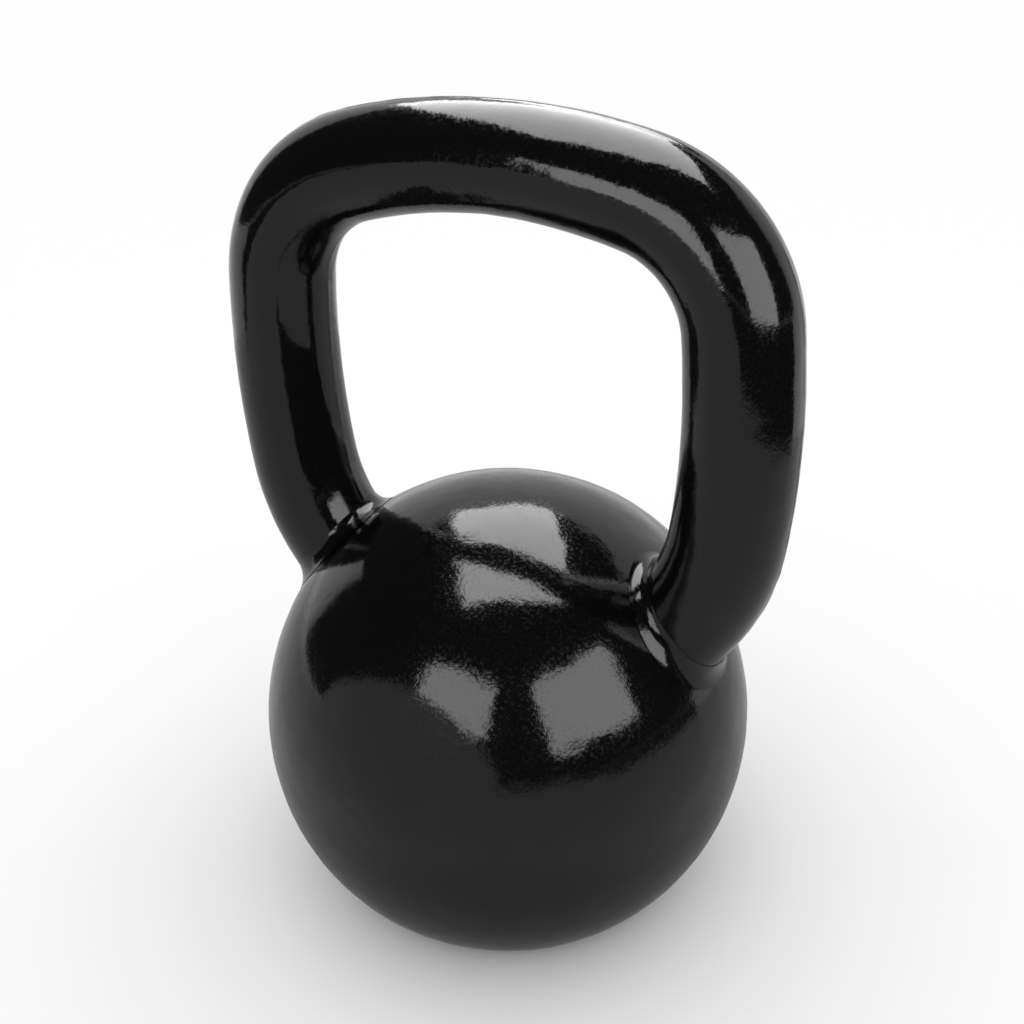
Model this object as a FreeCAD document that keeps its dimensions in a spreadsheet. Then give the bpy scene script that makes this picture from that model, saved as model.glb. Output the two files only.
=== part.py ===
import FreeCAD, Part
import math
import os
import Sketcher

# A 16 kg kettlebell: a cast iron ball with a flat base, a bent bar handle whose two horns sit in
# sockets in the ball and are welded round, and a small core pocket filled with ballast behind a
# steel plug. Millimetres and degrees. The origin is the middle of the base, on the ground,
# +Z is up, and the handle's loop lies in the XZ plane.

SIZES = {
    "ball_diameter": 158.0,
    "ball_centre_height": 55.3,
    "base_rim_radius": 14.0,
    "grip_diameter": 31.1,
    "horn_diameter": 34.8,
    "horn_seat_angle": 41.1,      # where the horn meets the ball, above the horizontal
    "horn_lean": 16.8,            # the horn's own tilt from the ball's radius there
    "horn_standoff": 4.0,         # length of straight horn outside the ball, on its centre line
    "horn_root_radius": 61.5,
    "horn_root_turn": 25.0,
    "leg_length": 61.3,
    "leg_turn": 13.0,
    "corner_radius": 39.2,
    "corner_turn": 68.7,
    "socket_depth": 26.0,
    "socket_clearance": 0.1,      # on the radius, and at the bottom of the socket
    "tenon_chamfer": 1.5,
    "weld_size": 4.0,
    "pocket_diameter": 40.0,
    "pocket_depth": 67.0,
    "plug_seat_width": 3.0,       # how far the plug's bore steps out past the pocket, all round
    "plug_height": 6.0,
    "plug_recess": 1.0,
    "plug_chamfer": 1.0,
}

SHEET = "sizes"
FULL_TURN = 360.0
SAME = 1e-4                       # two lengths closer than this are the same length
NEAR = 1e-3                       # how close an edge cut by two round faces lies to both
SPOTS = 9                         # points looked at on an edge to tell which edge it is

# How a sketch numbers its own origin and upright axis, and the points of a line or an arc.
ORIGIN, UPRIGHT = -1, -2
START, END, CENTRE = 1, 2, 3

doc = FreeCAD.newDocument("kettlebell")


def make_sheet():
    """The spreadsheet that holds every driving size."""
    sheet = doc.addObject("Spreadsheet::Sheet", SHEET)
    for row, (alias, value) in enumerate(SIZES.items(), start=1):
        sheet.set(f"A{row}", alias.replace("_", " "))
        sheet.set(f"B{row}", str(value))
        sheet.setAlias(f"B{row}", alias)
    doc.recompute()
    return sheet


sheet = make_sheet()


def size(alias):
    return float(sheet.get(alias))


def new_body(name):
    body = doc.addObject("PartDesign::Body", name)
    body.Label = name
    return body


def origin_plane(body, role):
    return next(part for part in body.Origin.OriginFeatures if part.Role == role)


def new_sketch(body, name, role="XZ_Plane"):
    sketch = body.newObject("Sketcher::SketchObject", name)
    sketch.AttachmentSupport = [(origin_plane(body, role), "")]
    sketch.MapMode = "FlatFace"
    return sketch


def bind(sketch, constraint, name, formula):
    """Adds a driving constraint, names it, and ties it to the sheet's cells."""
    index = sketch.addConstraint(constraint)
    sketch.renameConstraint(index, name)
    sketch.setExpression(f"Constraints.{name}", formula)


def cell(formula):
    """Writes the aliases in a formula as references to the sheet."""
    words = formula.split(" ")
    return " ".join(f"{SHEET}.{word}" if word in SIZES else word for word in words)


def point(x, y):
    return FreeCAD.Vector(x, y, 0)


def arc(centre, radius, start, end):
    """An arc drawn anticlockwise between two directions in degrees."""
    circle = Part.Circle(centre, FreeCAD.Vector(0, 0, 1), radius)
    return Part.ArcOfCircle(circle, math.radians(start), math.radians(end))


def outline(sketch, corners):
    """A closed outline of straight lines, joined end to end. Returns the lines' numbers."""
    lines = [sketch.addGeometry(Part.LineSegment(a, b)) for a, b in zip(corners, corners[1:] + corners[:1])]
    for line, following in zip(lines, lines[1:] + lines[:1]):
        sketch.addConstraint(Sketcher.Constraint("Coincident", line, END, following, START))
    return lines


def turned(body, kind, name, sketch, axis="V_Axis"):
    """A Revolution or a Groove of a sketch, right round its axis."""
    feature = body.newObject(kind, name)
    feature.Profile = sketch
    feature.ReferenceAxis = (sketch, [axis])
    feature.Angle = FULL_TURN
    doc.recompute()
    return feature


def edges_where(shape, test):
    """The names of the edges whose every point passes the test."""
    found = []
    for number, edge in enumerate(shape.Edges, start=1):
        if not edge.Degenerated and all(test(spot) for spot in edge.discretize(SPOTS)):
            found.append(f"Edge{number}")
    return found


# ---- the ball ---------------------------------------------------------------------------------

def ball_sketch(body, name):
    """Half of the ball's section: the flat base, the round, and the axis."""
    radius = size("ball_diameter") / 2
    height = size("ball_centre_height")
    flat = math.sqrt(radius ** 2 - height ** 2)
    sketch = new_sketch(body, name)
    base = sketch.addGeometry(Part.LineSegment(point(0, 0), point(flat, 0)))
    low = -math.degrees(math.asin(height / radius))
    side = sketch.addGeometry(arc(point(0, height), radius, low, 90))
    axis = sketch.addGeometry(Part.LineSegment(point(0, height + radius), point(0, 0)))
    sketch.addConstraint(Sketcher.Constraint("Coincident", base, END, side, START))
    sketch.addConstraint(Sketcher.Constraint("Coincident", side, END, axis, START))
    sketch.addConstraint(Sketcher.Constraint("Coincident", axis, END, base, START))
    sketch.addConstraint(Sketcher.Constraint("Coincident", base, START, ORIGIN, START))
    sketch.addConstraint(Sketcher.Constraint("Horizontal", base))
    sketch.addConstraint(Sketcher.Constraint("Vertical", axis))
    sketch.addConstraint(Sketcher.Constraint("PointOnObject", side, CENTRE, UPRIGHT))
    bind(sketch, Sketcher.Constraint("Radius", side, radius), "ball_radius", cell("ball_diameter / 2"))
    bind(sketch, Sketcher.Constraint("DistanceY", ORIGIN, START, side, CENTRE, height), "centre_height",
         cell("ball_centre_height"))
    return sketch


def rim_edge(shape):
    """The round edge where the flat base meets the ball."""
    return edges_where(shape, lambda spot: abs(spot.z) < SAME and math.hypot(spot.x, spot.y) > SAME)


def plain_ball(body):
    """The ball before any hole is cut in it."""
    section = ball_sketch(body, f"{body.Name}_section")
    solid = turned(body, "PartDesign::Revolution", f"{body.Name}_round", section)
    rim = body.newObject("PartDesign::Fillet", f"{body.Name}_rim")
    rim.Base = (solid, rim_edge(solid.Shape))
    rim.setExpression("Radius", cell("base_rim_radius"))
    doc.recompute()
    return rim


def horn_root():
    """Where the right horn's straight end starts, on its centre line, and the way it points.

    Both are drawn in the handle's plane: across, then up.
    """
    reach = size("ball_diameter") / 2 + size("horn_standoff")
    seat = math.radians(size("horn_seat_angle"))
    lean = math.radians(size("horn_seat_angle") + size("horn_lean"))
    root = point(reach * math.cos(seat), size("ball_centre_height") + reach * math.sin(seat))
    return root, point(math.cos(lean), math.sin(lean))


def place_horn(sketch, spoke, straight, straight_start):
    """Ties a spoke from the ball's centre and the straight of the horn to the driving sizes."""
    sketch.addConstraint(Sketcher.Constraint("PointOnObject", spoke, START, UPRIGHT))
    bind(sketch, Sketcher.Constraint("DistanceY", ORIGIN, START, spoke, START, 1.0), "centre_height",
         cell("ball_centre_height"))
    bind(sketch, Sketcher.Constraint("Distance", spoke, 1.0), "reach",
         cell("ball_diameter / 2 + horn_standoff"))
    bind(sketch, Sketcher.Constraint("Angle", ORIGIN, START, spoke, START, 1.0), "seat_angle",
         cell("horn_seat_angle * 1 deg"))
    bind(sketch, Sketcher.Constraint("Angle", ORIGIN, START, straight, straight_start, 1.0), "lean_angle",
         cell("( horn_seat_angle + horn_lean ) * 1 deg"))


def socket_sketch(body, name):
    """Half of a socket's section, along the horn's axis, from its bottom to outside the ball."""
    root, along = horn_root()
    across = point(along.y, -along.x)
    bore = size("horn_diameter") / 2 + size("socket_clearance")
    deep = root - along * (size("horn_standoff") + size("socket_depth"))
    out = root + along * size("horn_standoff")
    sketch = new_sketch(body, name)
    axis = sketch.addGeometry(Part.LineSegment(root, deep), True)
    spoke = sketch.addGeometry(Part.LineSegment(point(0, size("ball_centre_height")), root), True)
    wall, mouth, side, bottom = outline(sketch, [deep, out, out + across * bore, deep + across * bore])
    sketch.addConstraint(Sketcher.Constraint("Coincident", spoke, END, axis, START))
    sketch.addConstraint(Sketcher.Constraint("Coincident", axis, END, wall, START))
    sketch.addConstraint(Sketcher.Constraint("PointOnObject", axis, START, wall))
    sketch.addConstraint(Sketcher.Constraint("Perpendicular", wall, mouth))
    sketch.addConstraint(Sketcher.Constraint("Perpendicular", wall, bottom))
    sketch.addConstraint(Sketcher.Constraint("Parallel", wall, side))
    place_horn(sketch, spoke, wall, START)
    bind(sketch, Sketcher.Constraint("Distance", axis, 1.0), "depth", cell("horn_standoff + socket_depth"))
    bind(sketch, Sketcher.Constraint("Distance", wall, 1.0), "length",
         cell("2 * horn_standoff + socket_depth"))
    bind(sketch, Sketcher.Constraint("Distance", mouth, 1.0), "bore",
         cell("horn_diameter / 2 + socket_clearance"))
    return sketch


def pocket_sketch(body, name):
    """Half of the core pocket's section: a bore with a round top, over the plug's seat."""
    radius = size("pocket_diameter") / 2
    seat = size("plug_recess") + size("plug_height")
    top = seat + size("pocket_depth")
    sketch = new_sketch(body, name)
    floor = sketch.addGeometry(Part.LineSegment(point(0, seat), point(radius, seat)))
    side = sketch.addGeometry(Part.LineSegment(point(radius, seat), point(radius, top - radius)))
    dome = sketch.addGeometry(arc(point(0, top - radius), radius, 0, 90))
    axis = sketch.addGeometry(Part.LineSegment(point(0, top), point(0, seat)))
    for line, following in ((floor, side), (dome, axis), (axis, floor)):
        sketch.addConstraint(Sketcher.Constraint("Coincident", line, END, following, START))
    sketch.addConstraint(Sketcher.Constraint("Tangent", side, END, dome, START))
    sketch.addConstraint(Sketcher.Constraint("Horizontal", floor))
    sketch.addConstraint(Sketcher.Constraint("Vertical", side))
    sketch.addConstraint(Sketcher.Constraint("PointOnObject", floor, START, UPRIGHT))
    sketch.addConstraint(Sketcher.Constraint("PointOnObject", dome, CENTRE, UPRIGHT))
    sketch.addConstraint(Sketcher.Constraint("PointOnObject", dome, END, UPRIGHT))
    bind(sketch, Sketcher.Constraint("DistanceX", floor, START, floor, END, radius), "pocket_radius",
         cell("pocket_diameter / 2"))
    bind(sketch, Sketcher.Constraint("DistanceY", ORIGIN, START, floor, START, seat), "seat_height",
         cell("plug_recess + plug_height"))
    bind(sketch, Sketcher.Constraint("DistanceY", floor, START, dome, END, top - seat), "pocket_height",
         cell("pocket_depth"))
    return sketch


def plug_radius():
    return size("pocket_diameter") / 2 + size("plug_seat_width")


def make_ball():
    """The casting: two blind sockets for the horns, and the core pocket with the plug's bore."""
    body = new_body("ball")
    plain_ball(body)
    section = socket_sketch(body, "socket_section")
    socket = turned(body, "PartDesign::Groove", "right_socket", section, "Axis0")
    both = body.newObject("PartDesign::Mirrored", "left_socket")
    both.Originals = [socket]
    both.MirrorPlane = (origin_plane(body, "YZ_Plane"), [""])
    body.Tip = both
    doc.recompute()
    turned(body, "PartDesign::Groove", "core_pocket", pocket_sketch(body, "pocket_section"))
    seat = new_sketch(body, "plug_bore_section", "XY_Plane")
    circle = seat.addGeometry(Part.Circle(point(0, 0), FreeCAD.Vector(0, 0, 1), plug_radius()))
    seat.addConstraint(Sketcher.Constraint("Coincident", circle, CENTRE, ORIGIN, START))
    bind(seat, Sketcher.Constraint("Radius", circle, plug_radius()), "plug_radius",
         cell("pocket_diameter / 2 + plug_seat_width"))
    bore = body.newObject("PartDesign::Pocket", "plug_bore")
    bore.Profile = seat
    bore.Reversed = True
    bore.setExpression("Length", cell("plug_recess + plug_height"))
    doc.recompute()
    return body


# ---- the handle -------------------------------------------------------------------------------

def handle_arcs():
    """The right half of the bar's centre line, from the horn's root to the crown, as tangent arcs.

    Each arc is (centre, radius, start direction, end direction). Every arc turns the same way, and
    the crown's radius is what brings the last one level over the middle of the ball.
    """
    here, along = horn_root()
    heading = math.degrees(math.atan2(along.y, along.x))
    leg_radius = size("leg_length") / math.radians(size("leg_turn"))
    bends = [
        (size("horn_root_radius"), size("horn_root_turn")),
        (leg_radius, size("leg_turn")),
        (size("corner_radius"), size("corner_turn")),
    ]
    arcs = []
    for radius, turn in bends:
        centre = here + point(-math.sin(math.radians(heading)), math.cos(math.radians(heading))) * radius
        arcs.append((centre, radius, heading - 90, heading + turn - 90))
        heading += turn
        here = centre + point(math.sin(math.radians(heading)), -math.cos(math.radians(heading))) * radius
    crown_radius = here.x / math.sin(math.radians(heading))
    centre = point(0, here.y + crown_radius * math.cos(math.radians(heading)))
    arcs.append((centre, crown_radius, heading - 90, 90))
    return arcs


def spine_sketch(body, name):
    """The centre line that the bar is swept along."""
    sketch = new_sketch(body, name)
    root, leg, corner, crown = [sketch.addGeometry(arc(*values)) for values in handle_arcs()]
    start, along = horn_root()
    spoke = sketch.addGeometry(Part.LineSegment(point(0, size("ball_centre_height")), start), True)
    straight = sketch.addGeometry(Part.LineSegment(start - along * size("horn_standoff"), start), True)
    sketch.addConstraint(Sketcher.Constraint("Coincident", spoke, END, root, START))
    for first, following in ((straight, root), (root, leg), (leg, corner), (corner, crown)):
        sketch.addConstraint(Sketcher.Constraint("Tangent", first, END, following, START))
    sketch.addConstraint(Sketcher.Constraint("PointOnObject", crown, END, UPRIGHT))
    sketch.addConstraint(Sketcher.Constraint("PointOnObject", crown, CENTRE, UPRIGHT))
    place_horn(sketch, spoke, straight, START)
    bind(sketch, Sketcher.Constraint("Distance", straight, 1.0), "standoff", cell("horn_standoff"))
    bends = [
        (root, "root", "horn_root_radius", "horn_root_turn"),
        (leg, "leg", "leg_length / ( leg_turn * pi / 180 )", "leg_turn"),
        (corner, "corner", "corner_radius", "corner_turn"),
    ]
    for bend, name_of_bend, radius, turn in bends:
        bind(sketch, Sketcher.Constraint("Radius", bend, 1.0), f"{name_of_bend}_radius", cell(radius))
        bind(sketch, Sketcher.Constraint("Angle", bend, 1.0), f"{name_of_bend}_turn", cell(f"{turn} * 1 deg"))
    return sketch


def round_section(body, name, spine, edge, vertex, diameter):
    """A circle square to the centre line at one of its ends."""
    sketch = body.newObject("Sketcher::SketchObject", name)
    sketch.AttachmentSupport = [(spine, edge), (spine, vertex)]
    sketch.MapMode = "NormalToEdge"
    circle = sketch.addGeometry(Part.Circle(point(0, 0), FreeCAD.Vector(0, 0, 1), size(diameter) / 2))
    sketch.addConstraint(Sketcher.Constraint("Coincident", circle, CENTRE, ORIGIN, START))
    bind(sketch, Sketcher.Constraint("Radius", circle, size(diameter) / 2), "radius", cell(f"{diameter} / 2"))
    doc.recompute()
    return sketch


def sweep_bar(body, swept, straight):
    """One half of the bar: swept along the centre line, then straight on into the socket.

    The kinds say whether the bar is added to the body or taken away from it.
    """
    spine = spine_sketch(body, f"{body.Name}_centre_line")
    doc.recompute()
    root = round_section(body, f"{body.Name}_horn_section", spine, "Edge1", "Vertex1", "horn_diameter")
    crown = round_section(body, f"{body.Name}_grip_section", spine, "Edge4", "Vertex5", "grip_diameter")
    bar = body.newObject(swept, f"{body.Name}_bar")
    bar.Profile = root
    bar.Spine = (spine, ["Edge1", "Edge2", "Edge3", "Edge4"])
    bar.Transformation = "Multisection"
    bar.Sections = [crown]
    doc.recompute()
    tenon = body.newObject(straight, f"{body.Name}_tenon")
    tenon.Profile = root
    tenon.Reversed = straight == "PartDesign::Pocket"
    tenon.setExpression("Length", cell("horn_standoff + socket_depth - socket_clearance"))
    doc.recompute()
    return bar, tenon


def make_handle():
    """The whole handle: both halves of the bar, and the bevelled ends that sit in the sockets."""
    body = new_body("handle")
    bar, tenon = sweep_bar(body, "PartDesign::AdditivePipe", "PartDesign::Pad")
    whole = body.newObject("PartDesign::Mirrored", "left_half")
    whole.Originals = [bar, tenon]
    whole.MirrorPlane = (origin_plane(body, "YZ_Plane"), [""])
    body.Tip = whole
    doc.recompute()
    bevel = body.newObject("PartDesign::Chamfer", "tenon_bevel")
    bevel.Base = (whole, tenon_edges(whole.Shape))
    bevel.setExpression("Size", cell("tenon_chamfer"))
    doc.recompute()
    return body


def horn_axis():
    """The right horn's root and direction in space."""
    root, along = horn_root()
    return FreeCAD.Vector(root.x, 0, root.y), FreeCAD.Vector(along.x, 0, along.y)


def tenon_edges(shape):
    """The two round edges at the sawn ends of the horns."""
    root, along = horn_axis()
    length = size("horn_standoff") + size("socket_depth") - size("socket_clearance")
    middle = root - along * length

    def at_sawn_end(spot):
        right = FreeCAD.Vector(abs(spot.x), spot.y, spot.z)
        return abs((right - middle).dot(along)) < SAME

    return edges_where(shape, at_sawn_end)


def seam_edges(shape):
    """The edges where the right horn comes out of the ball."""
    root, along = horn_axis()
    middle = FreeCAD.Vector(0, 0, size("ball_centre_height"))

    def in_seam(spot):
        off_ball = spot.distanceToPoint(middle) - size("ball_diameter") / 2
        off_horn = spot.distanceToLine(root, along) - size("horn_diameter") / 2
        return abs(off_ball) < NEAR and abs(off_horn) < NEAR

    return edges_where(shape, in_seam)


# ---- the welds --------------------------------------------------------------------------------

def make_weld():
    """The fillet weld round the right horn: what a bevel adds in the corner between horn and ball."""
    body = new_body("right_horn_weld")
    plain_ball(body)
    bar, tenon = sweep_bar(body, "PartDesign::AdditivePipe", "PartDesign::Pad")
    bead = body.newObject("PartDesign::Chamfer", "weld_bead")
    bead.Base = (tenon, seam_edges(tenon.Shape))
    bead.setExpression("Size", cell("weld_size"))
    doc.recompute()
    turned(body, "PartDesign::Groove", "ball_taken_away", ball_sketch(body, "ball_again"))
    sweep_bar(body, "PartDesign::SubtractivePipe", "PartDesign::Pocket")
    return body


def make_mirrored_weld(weld):
    """The left weld is the right one seen in the plane between the horns."""
    left = doc.addObject("Part::Mirroring", "left_horn_weld")
    left.Label = "left_horn_weld"
    left.Source = weld
    left.Normal = FreeCAD.Vector(1, 0, 0)
    doc.recompute()
    return left


# ---- inside the ball --------------------------------------------------------------------------

def make_ballast():
    """The filling of the core pocket."""
    body = new_body("ballast")
    turned(body, "PartDesign::Revolution", "ballast_fill", pocket_sketch(body, "ballast_section"))
    return body


def make_core_plug():
    """A turned steel disc pressed into its bore, with both rims chamfered."""
    radius = plug_radius()
    low = size("plug_recess")
    top = low + size("plug_height")
    body = new_body("core_plug")
    sketch = new_sketch(body, "disc_section")
    corners = [(0, top), (0, low), (radius, low), (radius, top)]
    axis, face, side, back = outline(sketch, [point(x, z) for x, z in corners])
    for line in (axis, side):
        sketch.addConstraint(Sketcher.Constraint("Vertical", line))
    for line in (face, back):
        sketch.addConstraint(Sketcher.Constraint("Horizontal", line))
    sketch.addConstraint(Sketcher.Constraint("PointOnObject", axis, START, UPRIGHT))
    bind(sketch, Sketcher.Constraint("Distance", face, radius), "radius",
         cell("pocket_diameter / 2 + plug_seat_width"))
    bind(sketch, Sketcher.Constraint("DistanceY", ORIGIN, START, face, START, low), "recess",
         cell("plug_recess"))
    bind(sketch, Sketcher.Constraint("Distance", axis, top - low), "height", cell("plug_height"))
    disc = turned(body, "PartDesign::Revolution", "disc", sketch)

    def at_rim(spot):
        return abs(math.hypot(spot.x, spot.y) - radius) < SAME

    rims = body.newObject("PartDesign::Chamfer", "plug_rims")
    rims.Base = (disc, edges_where(disc.Shape, at_rim))
    rims.setExpression("Size", cell("plug_chamfer"))
    doc.recompute()
    return body


# ---- the whole kettlebell ---------------------------------------------------------------------

def check(pieces):
    """Stops before anything is written if an object failed or a piece isn't one sound solid."""
    for thing in doc.Objects:
        if "Invalid" in thing.State or "Error" in thing.State:
            raise RuntimeError(f"{thing.Name} failed: {thing.State}")
    for piece in pieces:
        shape = piece.Shape
        if shape.isNull() or not shape.isValid() or len(shape.Solids) != 1:
            raise RuntimeError(f"{piece.Label} is not one valid solid")


def build():
    right_weld = make_weld()
    pieces = [
        make_ball(),
        make_handle(),
        right_weld,
        make_mirrored_weld(right_weld),
        make_ballast(),
        make_core_plug(),
    ]
    check(pieces)
    os.makedirs("parts", exist_ok=True)
    for piece in pieces:
        piece.Shape.exportStep(f"parts/{piece.Label}.step")
        print(f"{piece.Label}: {piece.Shape.Volume / 1000:.1f} cm3")


build()
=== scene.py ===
import bmesh
import bpy
import math
from mathutils import Matrix, Vector


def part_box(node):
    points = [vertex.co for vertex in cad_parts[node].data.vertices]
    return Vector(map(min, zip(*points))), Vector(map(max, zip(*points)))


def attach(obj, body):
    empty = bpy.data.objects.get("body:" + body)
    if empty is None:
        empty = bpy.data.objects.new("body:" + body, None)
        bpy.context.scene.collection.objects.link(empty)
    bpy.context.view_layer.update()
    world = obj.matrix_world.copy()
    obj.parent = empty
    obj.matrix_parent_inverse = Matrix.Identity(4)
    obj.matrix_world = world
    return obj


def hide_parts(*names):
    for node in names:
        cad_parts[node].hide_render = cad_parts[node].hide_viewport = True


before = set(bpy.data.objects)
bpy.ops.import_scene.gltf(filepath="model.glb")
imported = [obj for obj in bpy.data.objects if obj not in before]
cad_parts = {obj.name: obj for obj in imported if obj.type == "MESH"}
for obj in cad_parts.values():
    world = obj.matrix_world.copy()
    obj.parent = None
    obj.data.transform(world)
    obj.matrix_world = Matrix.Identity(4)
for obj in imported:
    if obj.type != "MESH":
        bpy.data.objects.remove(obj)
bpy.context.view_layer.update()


# ---- the studio --------------------------------------------------------------------------------
# The kettlebell stands on a pale studio floor, seen from a little above and from its right front.
# The camera is turned and set back from the middle of the ball, which the frame gives.

ball_low, ball_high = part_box("ball")
BALL_RADIUS = (ball_high.x - ball_low.x) / 2
BALL_CENTRE = Vector((0.0, 0.0, ball_high.z - BALL_RADIUS))

CAMERA_TURN = math.radians(26.59)       # from the front, towards the right horn
CAMERA_RISE = math.radians(28.35)
CAMERA_ROLL = math.radians(-1.64)
CAMERA_DISTANCE = 0.4266
AIM_RIGHT, AIM_UP = 0.0013, 0.0638      # from the middle of the ball to the middle of the view
LENS, SENSOR = 44.84, 36.0              # millimetres


def way(turn, rise):
    """The direction from the object to something at a turn from the front and a rise."""
    return Vector((math.sin(turn) * math.cos(rise), -math.cos(turn) * math.cos(rise), math.sin(rise)))


def place_camera():
    back = way(CAMERA_TURN, CAMERA_RISE)
    right = Vector((math.cos(CAMERA_TURN), math.sin(CAMERA_TURN), 0.0))
    up = back.cross(right)
    rolled_right = math.cos(CAMERA_ROLL) * right + math.sin(CAMERA_ROLL) * up
    rolled_up = back.cross(rolled_right)
    eye = BALL_CENTRE + AIM_RIGHT * rolled_right + AIM_UP * rolled_up + CAMERA_DISTANCE * back
    camera = bpy.data.objects.new("camera", bpy.data.cameras.new("camera"))
    camera.data.lens = LENS
    camera.data.sensor_width = SENSOR
    camera.data.clip_start = 0.01
    turned = Matrix((rolled_right, rolled_up, back)).transposed()
    camera.matrix_world = Matrix.Translation(eye) @ turned.to_4x4()
    bpy.context.scene.collection.objects.link(camera)
    bpy.context.scene.camera = camera


place_camera()
bpy.context.scene.view_settings.view_transform = "Standard"


class Wire:
    """One output of a node. Plain arithmetic on it adds the maths nodes."""

    def __init__(self, bench, socket):
        self.bench = bench
        self.socket = socket

    def maths(self, operation, *terms):
        return self.bench.node("ShaderNodeMath", {"operation": operation}, dict(enumerate(terms)))

    def __add__(self, other):
        return self.maths("ADD", self, other)

    def __radd__(self, other):
        return self.maths("ADD", other, self)

    def __sub__(self, other):
        return self.maths("SUBTRACT", self, other)

    def __rsub__(self, other):
        return self.maths("SUBTRACT", other, self)

    def __mul__(self, other):
        return self.maths("MULTIPLY", self, other)

    def __rmul__(self, other):
        return self.maths("MULTIPLY", other, self)

    def __truediv__(self, other):
        return self.maths("DIVIDE", self, other)

    def __rtruediv__(self, other):
        return self.maths("DIVIDE", other, self)

    def __pow__(self, other):
        return self.maths("POWER", self, other)

    def size(self):
        return self.maths("ABSOLUTE", self)

    def at_least(self, other):
        return self.maths("MAXIMUM", self, other)

    def at_most(self, other):
        return self.maths("MINIMUM", self, other)

    def sine(self):
        return self.maths("SINE", self)

    def exponent(self):
        return self.maths("EXPONENT", self)

    def between(self, low, high):
        """Nought below low, one above high, and a soft step between them."""
        return self.bench.node("ShaderNodeMapRange", {"interpolation_type": "SMOOTHSTEP"}, {
            "Value": self, "From Min": low, "From Max": high})


class Bench:
    """A node tree, and the one way that a node is put into it."""

    def __init__(self, tree):
        self.tree = tree

    def node(self, kind, settings=None, inputs=None, output=0):
        made = self.tree.nodes.new(kind)
        for name, value in (settings or {}).items():
            setattr(made, name, value)
        for name, value in (inputs or {}).items():
            self.join(made.inputs[name], value)
        return Wire(self, made.outputs[output]) if made.outputs else None

    def join(self, socket, value):
        if isinstance(value, Wire):
            self.tree.links.new(value.socket, socket)
        else:
            socket.default_value = value

    def axes(self, vector):
        """The three parts of a vector."""
        first = self.node("ShaderNodeSeparateXYZ", None, {"Vector": vector})
        return [Wire(self, socket) for socket in first.socket.node.outputs]


STUDIO_WHITE = (1.16, 1.16, 1.16, 1.0)
SWEEP_WHITE = (0.88, 0.88, 0.88, 1.0)
STUDIO_DARK = (0.030, 0.030, 0.032, 1.0)
SWEEP_TOP = math.sin(math.radians(38.0))       # how high the white paper sweep reaches behind
SWEEP_TURN = math.radians(13.0)                # from straight behind, towards the left
SWEEP_SIDES = (0.34, 0.43)                     # where it ends at the sides, 1 being straight behind
SWEEP_BLUR = 0.01


def light_the_room():
    """White all round, except that gloss sees the dark room in front and over the paper sweep."""
    world = bpy.data.worlds.new("studio")
    world.use_nodes = True
    world.node_tree.nodes.clear()
    bench = Bench(world.node_tree)
    direction = bench.node("ShaderNodeTexCoord")
    x, y, z = bench.axes(direction)
    behind = y * math.cos(SWEEP_TURN) - x * math.sin(SWEEP_TURN)
    over = z.between(SWEEP_TOP - SWEEP_BLUR, SWEEP_TOP + SWEEP_BLUR)
    sweep = behind.between(*SWEEP_SIDES) * (1 - over)
    seen_in_gloss = bench.node("ShaderNodeMix", {"data_type": "RGBA"}, {
        0: sweep, 6: STUDIO_DARK, 7: SWEEP_WHITE}, output=2)
    in_gloss = bench.node("ShaderNodeLightPath", output=3)
    colour = bench.node("ShaderNodeMix", {"data_type": "RGBA"}, {
        0: in_gloss, 6: STUDIO_WHITE, 7: seen_in_gloss}, output=2)
    glow = bench.node("ShaderNodeBackground", None, {"Color": colour, "Strength": 1.0})
    bench.node("ShaderNodeOutputWorld", None, {"Surface": glow})
    world.cycles.sampling_method = "NONE"
    bpy.context.scene.world = world


light_the_room()

FLOOR_RADIUS = 4.0
FLOOR_PAINT = (0.88, 0.88, 0.88, 1.0)


def floor_paint():
    material = bpy.data.materials.new("studio_floor")
    material.use_nodes = True
    material.node_tree.nodes.clear()
    bench = Bench(material.node_tree)
    place = bench.node("ShaderNodeTexCoord", output=3)
    mottle = bench.node("ShaderNodeTexNoise", None, {"Vector": place, "Scale": 3.0, "Detail": 4.0})
    paint = bench.node("ShaderNodeBsdfPrincipled", None, {
        "Base Color": FLOOR_PAINT, "Roughness": 0.75 + 0.1 * mottle, "Specular IOR Level": 0.2})
    bench.node("ShaderNodeOutputMaterial", None, {"Surface": paint})
    return material


def lay_floor():
    mesh = bpy.data.meshes.new("studio_floor")
    plan = bmesh.new()
    bmesh.ops.create_circle(plan, cap_ends=True, radius=FLOOR_RADIUS, segments=96)
    plan.to_mesh(mesh)
    plan.free()
    mesh.materials.append(floor_paint())
    floor = bpy.data.objects.new("studio_floor", mesh)
    bpy.context.scene.collection.objects.link(floor)


lay_floor()


def facing(place, aim):
    """The turn that points a flat thing's back, its -Z, from its place to an aim."""
    return (aim - place).to_track_quat("-Z", "Y").to_matrix().to_4x4()


def hang_softbox(name, place, aim, width, height, glow, spin=0.0):
    """A soft panel that only shows in the gloss. Its glow is in watts per square metre."""
    lamp = bpy.data.lights.new(name, "AREA")
    lamp.shape = "RECTANGLE"
    lamp.size = width
    lamp.size_y = height
    lamp.energy = glow * width * height
    panel = bpy.data.objects.new(name, lamp)
    spun = Matrix.Rotation(spin, 4, "Z")
    panel.matrix_world = Matrix.Translation(place) @ spun @ facing(place, aim)
    panel.visible_diffuse = False
    bpy.context.scene.collection.objects.link(panel)


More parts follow.
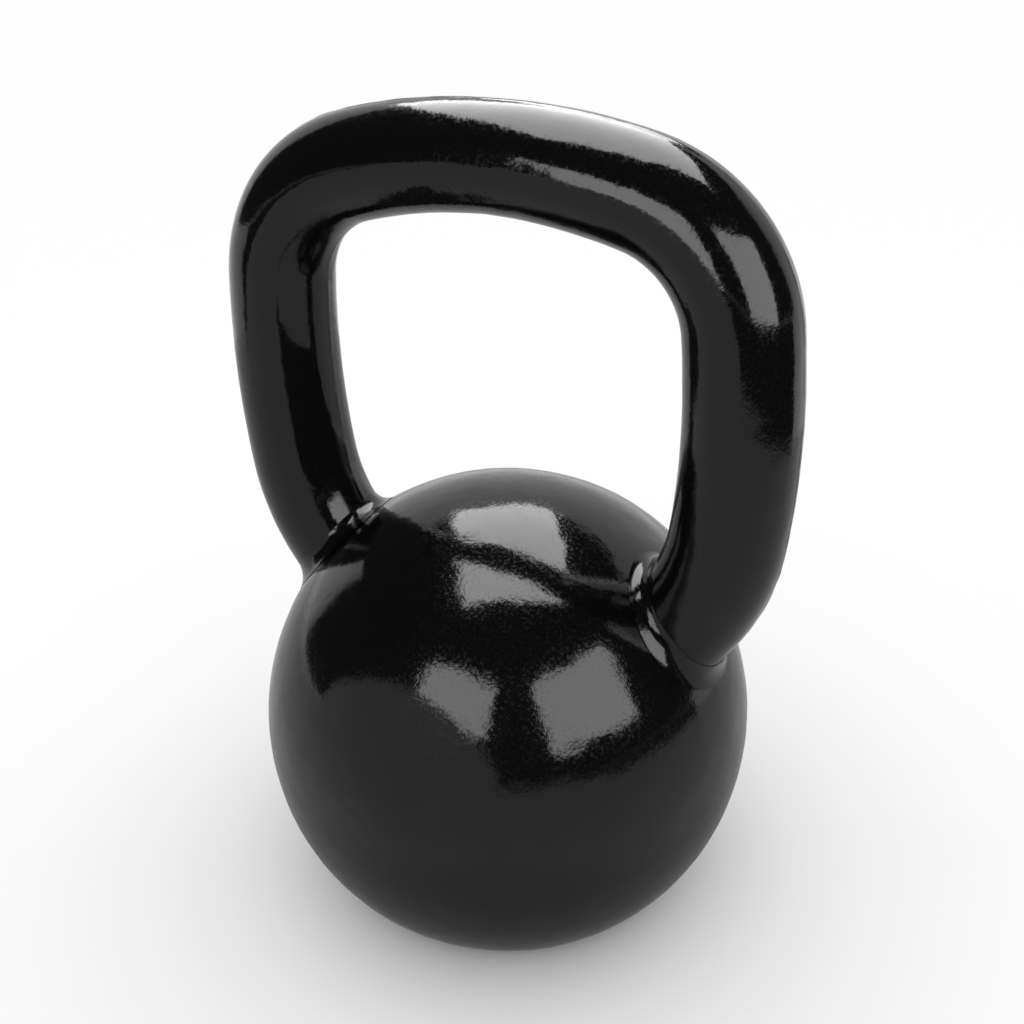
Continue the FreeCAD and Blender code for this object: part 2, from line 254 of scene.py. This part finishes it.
hang_softbox("overhead_softbox", place=Vector((-0.075, 0.21, 0.545)), aim=Vector((-0.075, 0.21, 0.0)),
             width=0.37, height=0.62, glow=24.0, spin=math.radians(30.0))
hang_softbox("right_softbox", place=Vector((0.37, -0.175, 0.305)), aim=Vector((0.05, -0.03, 0.14)),
             width=0.34, height=0.28, glow=15.0)
hang_softbox("front_softbox", place=Vector((0.005, -0.285, 0.255)), aim=Vector((0.02, -0.06, 0.17)),
             width=0.19, height=0.155, glow=15.0)

CARD_GREY = (0.62, 0.62, 0.62, 1.0)
BLACK = (0.0, 0.0, 0.0, 1.0)
CARD_GLOW = 1.1
CREASE_SHADE_SCALE, CREASE_SHADE_DEPTH = 12.0, 0.2
BALL_SHADE = 0.25                              # the tone left in the shade under the ball
SHADE_START, SHADE_END = 0.04, 0.17            # from the ball's axis, where the shade fades


def only_in_gloss(name, plan, colour, shaded=False):
    """A glowing studio sheet that only shows in the gloss, as a painted reflection. If it is shaded, a
    painted shadow of the ball is carried in its glow.
    """
    material = bpy.data.materials.new(name)
    material.use_nodes = True
    material.node_tree.nodes.clear()
    bench = Bench(material.node_tree)
    place = bench.node("ShaderNodeTexCoord", output=3)
    # Painted shade: a soft noise darkens the glow as if the sheet were creased.
    crease_shade = bench.node("ShaderNodeTexNoise", None, {"Vector": place, "Scale": CREASE_SHADE_SCALE})
    light = (1 - CREASE_SHADE_DEPTH) + CREASE_SHADE_DEPTH * crease_shade
    if shaded:
        x, y, z = bench.axes(place)
        # Painted shadow: the glow is darkened round the ball's axis, where the ball's shadow would fall.
        out = ((x * x + y * y) ** 0.5).between(SHADE_START, SHADE_END)
        light = light * (BALL_SHADE + (1 - BALL_SHADE) * out)
    tone = bench.node("ShaderNodeMix", {"data_type": "RGBA"}, {
        0: light, 6: BLACK, 7: colour}, output=2)
    glow = bench.node("ShaderNodeEmission", None, {"Color": tone, "Strength": CARD_GLOW})
    bench.node("ShaderNodeOutputMaterial", None, {"Surface": glow})
    mesh = bpy.data.meshes.new(name)
    plan.to_mesh(mesh)
    plan.free()
    mesh.materials.append(material)
    thing = bpy.data.objects.new(name, mesh)
    thing.visible_camera = False
    thing.visible_diffuse = False
    thing.visible_shadow = False
    bpy.context.scene.collection.objects.link(thing)


CARD_ACROSS, CARD_UP = 0.25, 0.22              # half its size each way
CARD_PLACE = Vector((-0.074, -0.25, 0.005))
CARD_AIM = Vector((0.005, -0.062, 0.005))


def stand_card():
    """A round white reflector, low in front on the left: a glowing sheet seen only in the gloss, which
    paints its reflection.
    """
    plan = bmesh.new()
    bmesh.ops.create_circle(plan, cap_ends=True, radius=1.0, segments=96)
    stand = Matrix.Translation(CARD_PLACE) @ facing(CARD_PLACE, CARD_AIM)
    plan.transform(stand @ Matrix.Diagonal((CARD_ACROSS, CARD_UP, 1.0, 1.0)))
    only_in_gloss("reflector_card", plan, CARD_GREY)


TABLE_RADIUS, TABLE_LIP = 0.38, 0.055
TABLE_PLACE = Vector((-0.03, 0.0, 0.002))
LIP_TILT, LIP_TURN = 0.020, math.radians(-20.0)     # the lip is higher towards this turn
CLOTH_RADIUS, CLOTH_HEIGHT = 3.0, 0.001
CLOTH_STEPS = 48


def lay_table():
    """A round white table top with a low lip, and the dark cloth that runs on from it in front. Both are
    glowing sheets seen only in the gloss, where they paint the floor's reflection; the table's glow
    carries a painted shadow of the ball.
    """
    table = bmesh.new()
    under = Matrix.Translation(TABLE_PLACE)
    bmesh.ops.create_circle(table, cap_ends=True, radius=TABLE_RADIUS, segments=128, matrix=under)
    rim = [edge for edge in table.edges if edge.is_boundary]
    lifted = bmesh.ops.extrude_edge_only(table, edges=rim)["geom"]
    high_side = way(LIP_TURN, 0.0)
    for vert in lifted:
        if isinstance(vert, bmesh.types.BMVert):
            vert.co.z += TABLE_LIP + LIP_TILT * vert.co.dot(high_side) / TABLE_RADIUS
    only_in_gloss("white_table", table, CARD_GREY, shaded=True)
    cloth = bmesh.new()
    turns = [CAMERA_TURN + math.pi + math.pi * step / CLOTH_STEPS for step in range(CLOTH_STEPS + 1)]
    edge = [(CLOTH_RADIUS * math.cos(t), CLOTH_RADIUS * math.sin(t), CLOTH_HEIGHT) for t in turns]
    cloth.faces.new([cloth.verts.new(spot) for spot in edge])
    only_in_gloss("dark_cloth", cloth, STUDIO_DARK)


FLAG_LEFT = -0.05
FLAG_CORNERS = [(0.0, 0.128), (-0.04, 0.128), (-0.065, 0.172), (-0.005, 0.172)]


def hang_dark_reflection_flag():
    """A strip of black cloth inside the loop, seen only in the gloss: a painted dark reflection that
    keeps the left horn's inner side dark.
    """
    flag = bmesh.new()
    flag.faces.new([flag.verts.new((FLAG_LEFT, y, z)) for y, z in FLAG_CORNERS])
    only_in_gloss("dark_reflection_flag", flag, STUDIO_DARK)


stand_card()
lay_table()
hang_dark_reflection_flag()


# ---- the ball ----------------------------------------------------------------------------------
# The weight itself: grey cast iron with a flat base, dipped in black gloss enamel over the swells of
# its sand mould. Two blind sockets take the horns, and a pocket holds the ballast behind its plug.

POCKET_RADIUS, POCKET_TOP = 0.020, 0.074
plug_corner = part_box("core_plug")[1]
PLUG_RADIUS, PLUG_TOP = plug_corner.x, plug_corner.z
RIM_RADIUS = 0.014                       # the round between the flat base and the ball
BASE_RINGS = (0.001, 0.013)              # outside the plug, the rings of the base's mesh
RING_STEP = 0.0011                       # between two rings of the rest of the mesh
MERIDIANS = 360


def arc(middle, radius, start, stop):
    """Points along an arc in the plane of a section, a ring step apart."""
    steps = max(2, round(abs(stop - start) * radius / RING_STEP))
    turns = [start + (stop - start) * step / steps for step in range(steps + 1)]
    return [(middle[0] + radius * math.cos(t), middle[1] + radius * math.sin(t)) for t in turns]


def ball_section():
    """From the top of the pocket, down and round the base, and up to the top of the ball."""
    quarter = math.pi / 2
    drop = BALL_CENTRE.z - RIM_RADIUS
    reach = math.sqrt((BALL_RADIUS - RIM_RADIUS) ** 2 - drop ** 2)
    leave = -math.atan2(drop, reach)
    base = [(PLUG_RADIUS + beyond, 0.0) for beyond in (0.0, *BASE_RINGS)]
    return (
        arc((0.0, POCKET_TOP - POCKET_RADIUS), POCKET_RADIUS, quarter, 0.0)
        + [(POCKET_RADIUS, PLUG_TOP), (PLUG_RADIUS, PLUG_TOP)]
        + base
        + arc((reach, RIM_RADIUS), RIM_RADIUS, -quarter, leave)
        + arc((0.0, BALL_CENTRE.z), BALL_RADIUS, leave, quarter)[1:]
    )


def turn_up(name, section):
    """A closed skin turned about the upright axis from a section whose ends lie on that axis."""
    mesh = bpy.data.meshes.new(name)
    lathe = bmesh.new()
    rings = []
    for radius, height in section[1:-1]:
        turns = [math.tau * step / MERIDIANS for step in range(MERIDIANS)]
        spots = [(radius * math.cos(t), radius * math.sin(t), height) for t in turns]
        rings.append([lathe.verts.new(spot) for spot in spots])
    first = lathe.verts.new((0.0, 0.0, section[0][1]))
    last = lathe.verts.new((0.0, 0.0, section[-1][1]))
    for step in range(MERIDIANS):
        following = (step + 1) % MERIDIANS
        lathe.faces.new((first, rings[0][step], rings[0][following]))
        for low, high in zip(rings, rings[1:]):
            lathe.faces.new((low[step], high[step], high[following], low[following]))
        lathe.faces.new((last, rings[-1][following], rings[-1][step]))
    bmesh.ops.recalc_face_normals(lathe, faces=lathe.faces)
    lathe.to_mesh(mesh)
    lathe.free()
    return mesh


def new_recipe(name, sizes):
    """A tree of modelling steps with named inputs: its bench, and a wire from each input."""
    tree = bpy.data.node_groups.new(name, "GeometryNodeTree")
    tree.interface.new_socket(name="Geometry", in_out="INPUT", socket_type="NodeSocketGeometry")
    tree.interface.new_socket(name="Geometry", in_out="OUTPUT", socket_type="NodeSocketGeometry")
    kinds = {int: "NodeSocketInt", float: "NodeSocketFloat",
             bpy.types.Material: "NodeSocketMaterial"}
    for size_name, value in sizes.items():
        tree.interface.new_socket(name=size_name, in_out="INPUT", socket_type=kinds[type(value)])
    bench = Bench(tree)
    first = bench.node("NodeGroupInput").socket.node
    return bench, {socket.name: Wire(bench, socket) for socket in first.outputs if socket.name}


def follow(recipe, name, mesh, sizes):
    """Takes a mesh through a recipe, and returns the result as an object with a plain mesh."""
    start = bpy.data.objects.new(name, mesh)
    bpy.context.scene.collection.objects.link(start)
    steps = start.modifiers.new("steps", "NODES")
    steps.node_group = recipe
    for item in recipe.interface.items_tree:
        if item.in_out == "INPUT" and item.name in sizes:
            steps[item.identifier] = sizes[item.name]
    return made_plain(start)


def made_plain(piece):
    """The piece with its modifiers worked out and taken off."""
    settled = piece.evaluated_get(bpy.context.evaluated_depsgraph_get())
    mesh = bpy.data.meshes.new_from_object(settled)
    piece.modifiers.clear()
    piece.data = mesh
    mesh.name = piece.name
    return piece


RIPPLE_SEED = 5.0                        # past the swells' seed


def sunk_skin(bench, sizes, position):
    """How far the moulded skin lies under its true size: long swells, and short ripples on them."""
    swell = bench.node("ShaderNodeTexNoise", {"noise_dimensions": "4D"}, {
        "Vector": position, "W": sizes["Seed"], "Scale": 1 / sizes["Swell length"], "Detail": 1.0})
    ripple = bench.node("ShaderNodeTexNoise", {"noise_dimensions": "4D"}, {
        "Vector": position, "W": sizes["Seed"] + RIPPLE_SEED,
        "Scale": 1 / sizes["Ripple length"], "Detail": 1.5})
    return swell * sizes["Swell depth"] + ripple * sizes["Ripple depth"]


def finish_recipe(bench, geometry, sizes):
    smooth = bench.node("GeometryNodeSetShadeSmooth", None, {"Geometry": geometry})
    whole = bench.node("GeometryNodeRealizeInstances", None, {"Geometry": smooth})
    painted = bench.node("GeometryNodeSetMaterial", None, {"Geometry": whole, "Material": sizes["Paint"]})
    bench.node("NodeGroupOutput", None, {"Geometry": painted})


SKIN_SHARES = (0.86, 0.92)               # of the radius: true inside the first, moulded past the second
SKIN_HEIGHTS = (0.0004, 0.005)           # above the floor: the base is true, the ball is moulded


def casting_recipe(sizes):
    """Sinks the outside of the casting by its swells and ripples, and leaves base and pocket true."""
    bench, wires = new_recipe("casting_skin", sizes)
    position = bench.node("GeometryNodeInputPosition")
    x, y, z = bench.axes(position)
    above = z - wires["Centre height"]
    away = (x * x + y * y + above * above) ** 0.5
    inner, outer = [share * wires["Radius"] for share in SKIN_SHARES]
    outside = away.between(inner, outer) * z.between(*SKIN_HEIGHTS)
    depth = sunk_skin(bench, wires, position) * outside
    normal = bench.node("GeometryNodeInputNormal")
    sink = bench.node("ShaderNodeVectorMath", {"operation": "SCALE"}, {0: normal, "Scale": 0 - depth})
    moved = bench.node("GeometryNodeSetPosition", None, {"Geometry": wires["Geometry"], "Offset": sink})
    finish_recipe(bench, moved, wires)
    return bench.tree


ENAMEL_BLACK = (0.0022, 0.0022, 0.0023, 1.0)
SCUFFED_BLACK = (0.030, 0.029, 0.028, 1.0)
ENAMEL_INDEX = 1.42
PEEL_PITCH, RUN_PITCH, SPECK_PITCH = 1100.0, 320.0, 1100.0      # waves in a metre
CLOUD_PITCH, SCRATCH_PITCH, PINHOLE_PITCH = 60.0, 240.0, 70.0
RUN_HEIGHT, PINHOLE_DEPTH = 0.000032, 0.00012
SCUFF_HEIGHTS = (0.0002, 0.0012)         # above the floor, where the scuffs of standing fade out
SCUFF_RADII = (0.033, 0.049)             # they are thickest towards the base's rim


def enamel(name, peel_height, pits, standing=False):
    """Black gloss enamel: fine orange peel, a few pinholes, and scuffs if the piece stands on it."""
    material = bpy.data.materials.new(name)
    material.use_nodes = True
    material.node_tree.nodes.clear()
    bench = Bench(material.node_tree)
    place = bench.node("ShaderNodeTexCoord", output=3)
    x, y, z = bench.axes(place)

    peel = bench.node("ShaderNodeTexNoise", None, {"Vector": place, "Scale": PEEL_PITCH, "Detail": 2.5})
    runs = bench.node("ShaderNodeTexNoise", None, {"Vector": place, "Scale": RUN_PITCH, "Detail": 1.0})
    cells = bench.node("ShaderNodeTexVoronoi", None, {"Vector": place, "Scale": PINHOLE_PITCH})
    drawn = Wire(bench, cells.socket.node.outputs["Color"])
    lot = bench.axes(drawn)[0]
    pinholes = (1 - cells.between(0.02, 0.045)) * lot.between(1 - pits, 1.01 - pits)
    height = peel * peel_height + runs * RUN_HEIGHT - pinholes * PINHOLE_DEPTH
    skin = bench.node("ShaderNodeBump", None, {"Strength": 1.0, "Distance": 1.0, "Height": height})

    cloud = bench.node("ShaderNodeTexNoise", None, {"Vector": place, "Scale": CLOUD_PITCH, "Detail": 3.0})
    speck = bench.node("ShaderNodeTexNoise", None, {"Vector": place, "Scale": SPECK_PITCH, "Detail": 2.0})
    roughness = 0.060 + 0.05 * cloud + 0.12 * speck.between(0.44, 0.72)
    colour = ENAMEL_BLACK
    if standing:
        scratch = bench.node("ShaderNodeTexNoise", None, {
            "Vector": place, "Scale": SCRATCH_PITCH, "Detail": 6.0})
        towards_rim = 0.15 + 0.85 * ((x * x + y * y) ** 0.5).between(*SCUFF_RADII)
        scuffed = (1 - z.between(*SCUFF_HEIGHTS)) * scratch.between(0.50, 0.62) * towards_rim
        roughness = roughness + 0.35 * scuffed
        colour = bench.node("ShaderNodeMix", {"data_type": "RGBA"}, {
            0: scuffed, 6: ENAMEL_BLACK, 7: SCUFFED_BLACK}, output=2)
    paint = bench.node("ShaderNodeBsdfPrincipled", None, {
        "Base Color": colour, "Roughness": roughness, "IOR": ENAMEL_INDEX, "Normal": skin})
    bench.node("ShaderNodeOutputMaterial", None, {"Surface": paint})
    return material


# The horns' sockets are bored along the straight ends of the handle, so the handle's sizes that
# both need are here: where a horn meets the ball, how it leans, and how deep it goes.
HORN_SEAT = math.radians(41.1)
HORN_LEAN = math.radians(16.8)
HORN_RADIUS = 0.0174
HORN_STANDOFF = 0.004
TENON_LENGTH = 0.026
SOCKET_CLEARANCE = 0.0001
CUTTER_OVERSHOOT, CUTTER_SIDES = 0.02, 96
SHARP_EDGE = math.radians(35.0)


def horn_line():
    """Where the right horn's straight end stops outside the ball, and its direction out of it."""
    seat = Vector((math.cos(HORN_SEAT), 0.0, math.sin(HORN_SEAT)))
    out = Vector((math.cos(HORN_SEAT + HORN_LEAN), 0.0, math.sin(HORN_SEAT + HORN_LEAN)))
    return BALL_CENTRE + (BALL_RADIUS + HORN_STANDOFF) * seat, out


root, horn_way = horn_line()
MIRROR = Matrix.Scale(-1.0, 4, Vector((1.0, 0.0, 0.0)))


def socket_cutter():
    """Two plain plugs the size of the sockets, one for each horn, to be taken out of the casting."""
    mesh = bpy.data.meshes.new("sockets")
    tool = bmesh.new()
    depth = HORN_STANDOFF + TENON_LENGTH
    middle = root + (CUTTER_OVERSHOOT - depth) / 2 * horn_way
    stand = Matrix.Translation(middle) @ horn_way.to_track_quat("Z", "Y").to_matrix().to_4x4()
    for side in (stand, MIRROR @ stand):
        radius = HORN_RADIUS + SOCKET_CLEARANCE
        bmesh.ops.create_cone(tool, cap_ends=True, segments=CUTTER_SIDES, radius1=radius,
                              radius2=radius, depth=depth + CUTTER_OVERSHOOT, matrix=side)
    bmesh.ops.recalc_face_normals(tool, faces=tool.faces)
    tool.to_mesh(mesh)
    tool.free()
    cutter = bpy.data.objects.new("sockets", mesh)
    bpy.context.scene.collection.objects.link(cutter)
    return cutter


def bore(piece, cutter):
    cut = piece.modifiers.new("bored", "BOOLEAN")
    cut.operation = "DIFFERENCE"
    cut.solver = "EXACT"
    cut.object = cutter
    made_plain(piece)
    bpy.data.objects.remove(cutter)
    piece.data.set_sharp_from_angle(angle=SHARP_EDGE)


ball_sizes = {
    "Centre height": BALL_CENTRE.z, "Radius": BALL_RADIUS, "Swell depth": 0.00042,
    "Swell length": 0.028, "Ripple depth": 0.00027, "Ripple length": 0.0085, "Seed": 3.0,
    "Paint": enamel("gloss_enamel_on_casting", peel_height=0.000028, pits=0.05, standing=True)}
ball_blank = turn_up("ball_casting", ball_section())
ball = follow(casting_recipe(ball_sizes), "ball_casting", ball_blank, ball_sizes)
bore(ball, socket_cutter())
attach(ball, "root")
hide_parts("ball")


# ---- the ballast -------------------------------------------------------------------------------
# Pale resin with a few dark filler grains, poured into the pocket that trims the casting's weight.
# Nothing of it shows once the plug is in.

RESIN = (0.30, 0.26, 0.20, 1.0)
GRIT = (0.07, 0.065, 0.06, 1.0)
GRAIN_PITCH, LUMP_PITCH = 700.0, 90.0
GRAIN_HEIGHT, LUMP_HEIGHT = 0.00015, 0.0002


def resin_filler():
    material = bpy.data.materials.new("resin_filler")
    material.use_nodes = True
    material.node_tree.nodes.clear()
    bench = Bench(material.node_tree)
    place = bench.node("ShaderNodeTexCoord", output=3)
    grains = bench.node("ShaderNodeTexVoronoi", None, {"Vector": place, "Scale": GRAIN_PITCH})
    cloud = bench.node("ShaderNodeTexNoise", None, {"Vector": place, "Scale": LUMP_PITCH, "Detail": 4.0})
    grit = 1 - grains.between(0.18, 0.34)
    colour = bench.node("ShaderNodeMix", {"data_type": "RGBA"}, {
        0: grit * cloud.between(0.45, 0.65), 6: RESIN, 7: GRIT}, output=2)
    height = grit * GRAIN_HEIGHT + cloud * LUMP_HEIGHT
    skin = bench.node("ShaderNodeBump", None, {"Strength": 1.0, "Distance": 1.0, "Height": height})
    paint = bench.node("ShaderNodeBsdfPrincipled", None, {
        "Base Color": colour, "Roughness": 0.62 - 0.2 * grit, "Normal": skin})
    bench.node("ShaderNodeOutputMaterial", None, {"Surface": paint})
    return material


def repaint(node, material):
    """Gives a carried-over node a better finish, without touching its mesh."""
    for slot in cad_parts[node].material_slots:
        slot.material = material


repaint("ballast", resin_filler())


# ---- the core plug -----------------------------------------------------------------------------
# A steel disc, faced on a lathe, pressed into the base and brushed over with thin black paint. The
# tool's rings still show, and the floor has rubbed its high spots.

BRUSHED_BLACK = (0.012, 0.012, 0.013, 1.0)
RUBBED_STEEL = (0.13, 0.125, 0.12, 1.0)
TOOL_FEED = 0.0006                       # between two of the lathe tool's rings
RING_HEIGHT, BRUSH_HEIGHT = 0.000012, 0.00006
BRUSH_PITCH = 130.0


def painted_plug():
    material = bpy.data.materials.new("painted_plug")
    material.use_nodes = True
    material.node_tree.nodes.clear()
    bench = Bench(material.node_tree)
    place = bench.node("ShaderNodeTexCoord", output=3)
    x, y, z = bench.axes(place)
    out = (x * x + y * y) ** 0.5
    rings = (out * (math.tau / TOOL_FEED)).sine()
    cloud = bench.node("ShaderNodeTexNoise", None, {"Vector": place, "Scale": BRUSH_PITCH, "Detail": 6.0})
    rubbed = cloud.between(0.56, 0.66) * 0.7
    colour = bench.node("ShaderNodeMix", {"data_type": "RGBA"}, {
        0: rubbed, 6: BRUSHED_BLACK, 7: RUBBED_STEEL}, output=2)
    height = rings * RING_HEIGHT + cloud * BRUSH_HEIGHT
    skin = bench.node("ShaderNodeBump", None, {"Strength": 1.0, "Distance": 1.0, "Height": height})
    paint = bench.node("ShaderNodeBsdfPrincipled", None, {
        "Base Color": colour, "Metallic": rubbed, "Roughness": 0.34 + 0.25 * cloud, "Normal": skin})
    bench.node("ShaderNodeOutputMaterial", None, {"Surface": paint})
    return material


repaint("core_plug", painted_plug())


# ---- the handle --------------------------------------------------------------------------------
# One round bar, thickest at its horns and slimmest at the grip, bent to a wide loop and enamelled
# with the ball. A low seam runs along the plane of the loop, where its mould halves met.

GRIP_RADIUS = 0.01555
ROOT_BEND, ROOT_TURN = 0.0615, math.radians(25.0)
LEG_LENGTH, LEG_TURN = 0.0613, math.radians(13.0)
CORNER_BEND, CORNER_TURN = 0.0392, math.radians(68.7)
BEND_STEP = math.radians(0.5)


def half_spine():
    """The right half of the bar's centre line, from its tenon's end to the middle of the grip."""
    heading = math.atan2(horn_way.z, horn_way.x)
    place = root.copy()
    tenon = HORN_STANDOFF + TENON_LENGTH - SOCKET_CLEARANCE
    line = [root - tenon * horn_way, place.copy()]
    crown_turn = math.pi - heading - ROOT_TURN - LEG_TURN - CORNER_TURN
    bends = [(ROOT_BEND, ROOT_TURN), (LEG_LENGTH / LEG_TURN, LEG_TURN), (CORNER_BEND, CORNER_TURN)]
    for radius, turn in bends:
        place, heading = bend(line, place, heading, radius, turn)
    crown_radius = place.x / math.sin(crown_turn)
    bend(line, place, heading, crown_radius, crown_turn)
    return line


def bend(line, place, heading, radius, turn):
    """Adds a left-hand bend to the line, and returns where it ends and its heading there."""
    side = Vector((-math.sin(heading), 0.0, math.cos(heading)))
    middle = place + radius * side
    steps = math.ceil(turn / BEND_STEP)
    for step in range(1, steps + 1):
        now = heading + turn * step / steps
        line.append(middle + radius * Vector((math.sin(now), 0.0, -math.cos(now))))
    return line[-1].copy(), heading + turn


def spine_mesh():
    right = half_spine()
    left = [MIRROR @ spot for spot in reversed(right[:-1])]
    spots = right + left
    mesh = bpy.data.meshes.new("handle")
    mesh.from_pydata(spots, [(spot, spot + 1) for spot in range(len(spots) - 1)], [])
    return mesh


def bar_length(line):
    return sum((after - before).length for before, after in zip(line, line[1:]))


SEAM_SEED, SEAM_PITCH = 9.0, 120.0
SEAM_LEAST = 0.35                        # how much of the seam is left where it was dressed


def bar_recipe(sizes):
    """Sweeps a round bar along its centre line, thinner towards the grip, with its skin and seam."""
    bench, wires = new_recipe("swept_bar", sizes)
    line = bench.node("GeometryNodeMeshToCurve", None, {"Mesh": wires["Geometry"]})
    even = bench.node("GeometryNodeResampleCurve", None, {"Curve": line, "Count": wires["Rings"]})
    whole = bench.node("GeometryNodeCurveLength", None, {"Curve": even})
    along = bench.node("GeometryNodeSplineParameter", output=1)
    from_grip = (along - whole / 2).size()
    share = (from_grip / wires["Bar half length"]).at_most(1.0)
    from_end = whole / 2 - from_grip
    chamfer = (wires["End chamfer"] - from_end).at_least(0.0)
    radius = wires["Grip radius"] + share * (wires["Horn radius"] - wires["Grip radius"]) - chamfer
    ring = bench.node("GeometryNodeCurvePrimitiveCircle", None, {
        "Resolution": wires["Sides"], "Radius": 1.0})
    bar = bench.node("GeometryNodeCurveToMesh", None, {
        "Curve": even, "Profile Curve": ring, "Scale": radius, "Fill Caps": True})

    position = bench.node("GeometryNodeInputPosition")
    x, y, z = bench.axes(position)
    broken = bench.node("ShaderNodeTexNoise", {"noise_dimensions": "4D"}, {
        "Vector": position, "W": wires["Seed"] + SEAM_SEED, "Scale": SEAM_PITCH, "Detail": 2.0})
    off_seam = y / wires["Seam half width"]
    ridge = (0 - off_seam * off_seam).exponent()
    left_standing = SEAM_LEAST + (1 - SEAM_LEAST) * broken.between(0.38, 0.55)
    seam = ridge * wires["Seam height"] * left_standing
    depth = sunk_skin(bench, wires, position) + wires["Seam height"] - seam
    normal = bench.node("GeometryNodeInputNormal")
    sink = bench.node("ShaderNodeVectorMath", {"operation": "SCALE"}, {0: normal, "Scale": 0 - depth})
    moved = bench.node("GeometryNodeSetPosition", None, {"Geometry": bar, "Offset": sink})
    finish_recipe(bench, moved, wires)
    return bench.tree


right_line = half_spine()
handle_sizes = {
    "Rings": 400, "Sides": 160, "Grip radius": GRIP_RADIUS, "Horn radius": HORN_RADIUS,
    "Bar half length": bar_length(right_line[1:]), "End chamfer": 0.0015,
    "Seam height": 0.00022, "Seam half width": 0.0007, "Swell depth": 0.00022,
    "Swell length": 0.024, "Ripple depth": 0.00019, "Ripple length": 0.008, "Seed": 11.0,
    "Paint": enamel("gloss_enamel_on_bar", peel_height=0.000022, pits=0.04)}
handle = follow(bar_recipe(handle_sizes), "handle_bar", spine_mesh(), handle_sizes)
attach(handle, "root")
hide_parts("handle")


# ---- the horn welds ----------------------------------------------------------------------------
# A small fillet of weld runs round each horn where it enters the ball, dressed smooth and drowned
# in enamel. The left one is the right one's mirror image.

FILLET_LEG = 0.0042
FILLET_SINK = 0.0003                     # its toes run out just under both skins
FILLET_ROOT = 0.0014                     # how far the weld bites into the bar and the ball
FILLET_HOLLOW = 0.12                     # how far its face stays off the corner, as a share of its leg
FILLET_WAVES = ((0.05, 3, 0.7), (0.03, 7, 0.0))     # its leg's uneven width: share, waves, start
FILLET_EDGE = math.radians(50.0)
FILLET_STEPS = 12
FILLET_SPOTS = 256


def weld_section(turn):
    """The weld's section at one turn round the horn, in space: a hollow face, and its root."""
    across = Vector((-horn_way.z, 0.0, horn_way.x))
    out = math.cos(turn) * across + math.sin(turn) * Vector((0.0, 1.0, 0.0))
    on_bar = root + HORN_RADIUS * out - BALL_CENTRE
    along = on_bar.dot(horn_way)
    reach = along ** 2 - on_bar.length_squared + BALL_RADIUS ** 2
    seam = BALL_CENTRE + on_bar + (math.sqrt(reach) - along) * horn_way
    normal = (seam - BALL_CENTRE).normalized()
    down = (out - out.dot(normal) * normal).normalized()
    uneven = sum(share * math.sin(waves * turn + start) for share, waves, start in FILLET_WAVES)
    leg = FILLET_LEG * (1 + uneven)
    upper = seam + leg * horn_way - FILLET_SINK * out
    lower = seam + leg * down - FILLET_SINK * normal
    corner = seam + FILLET_HOLLOW * leg * (horn_way + down)
    face = []
    for step in range(FILLET_STEPS + 1):
        share = step / FILLET_STEPS
        face.append((1 - share) ** 2 * upper + 2 * share * (1 - share) * corner + share ** 2 * lower)
    return face + [seam - FILLET_ROOT * (out + normal)]


def weld_mesh(name, mirrored):
    mesh = bpy.data.meshes.new(name)
    bead = bmesh.new()
    sections = []
    for spot in range(FILLET_SPOTS):
        points = weld_section(math.tau * spot / FILLET_SPOTS)
        if mirrored:
            points = [MIRROR @ point for point in points]
        sections.append([bead.verts.new(point) for point in points])
    for here, after in zip(sections, sections[1:] + sections[:1]):
        for one, two, three, four in zip(here, here[1:] + here[:1], after[1:] + after[:1], after):
            face = bead.faces.new((one, two, three, four))
            face.smooth = True
    bmesh.ops.recalc_face_normals(bead, faces=bead.faces)
    bead.to_mesh(mesh)
    bead.free()
    mesh.set_sharp_from_angle(angle=FILLET_EDGE)
    return mesh


weld_enamel = enamel("gloss_enamel_on_weld", peel_height=0.000022, pits=0.02)
for side, mirrored in (("right", False), ("left", True)):
    weld = bpy.data.objects.new(side + "_weld_bead", weld_mesh(side + "_weld_bead", mirrored))
    bpy.context.scene.collection.objects.link(weld)
    weld.data.materials.append(weld_enamel)
    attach(weld, "root")
    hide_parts(side + "_horn_weld")
